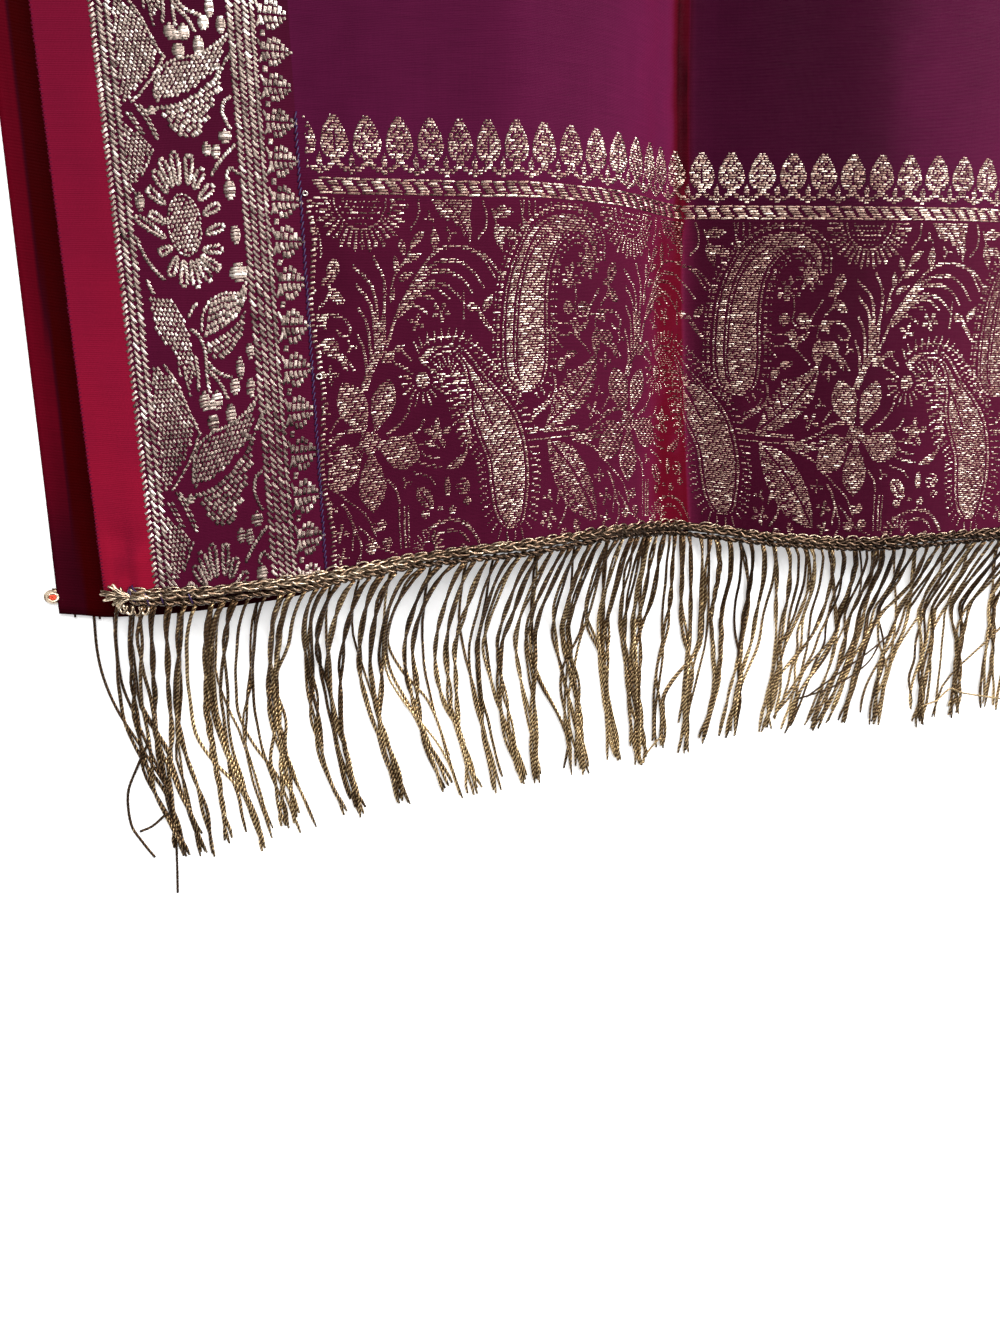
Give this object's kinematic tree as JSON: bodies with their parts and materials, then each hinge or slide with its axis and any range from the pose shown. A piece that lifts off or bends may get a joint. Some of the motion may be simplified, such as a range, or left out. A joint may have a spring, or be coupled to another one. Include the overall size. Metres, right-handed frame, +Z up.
{
  "type": "folded shawl with metal-thread borders and fringe",
  "caption": "Long woven silk shawl folded once across its length and laid flat, with brocaded borders, a plaited braid and a cord fringe on both ends.",
  "frame": {"origin": "centre of the footprint, on the surface that the folded shawl lies on", "axes": "+X across the cloth from the left selvage to the right, +Y along the cloth from the fringed ends to the fold, +Z up"},
  "size_m": [0.9386, 1.0932, 0.0323],
  "materials": {
    "field_silk": "satin",
    "end_border_brocade": "satin",
    "side_border_brocade": "satin",
    "selvage_silk": "satin",
    "under_silk": "satin",
    "zari": "metallic thread",
    "metal_braid": "metallic thread",
    "metal_fringe": "metallic thread"
  },
  "bodies": {
    "root": {"field": "field_silk", "end_border": "end_border_brocade", "side_border_left": "side_border_brocade", "side_border_right": "side_border_brocade", "selvage_left": "selvage_silk", "selvage_right": "selvage_silk", "under_layer": "under_silk", "braid_top": "metal_braid", "under_braid": "metal_braid", "fringe_top": "metal_fringe", "under_fringe": "metal_fringe"}
  },
  "joints": []
}
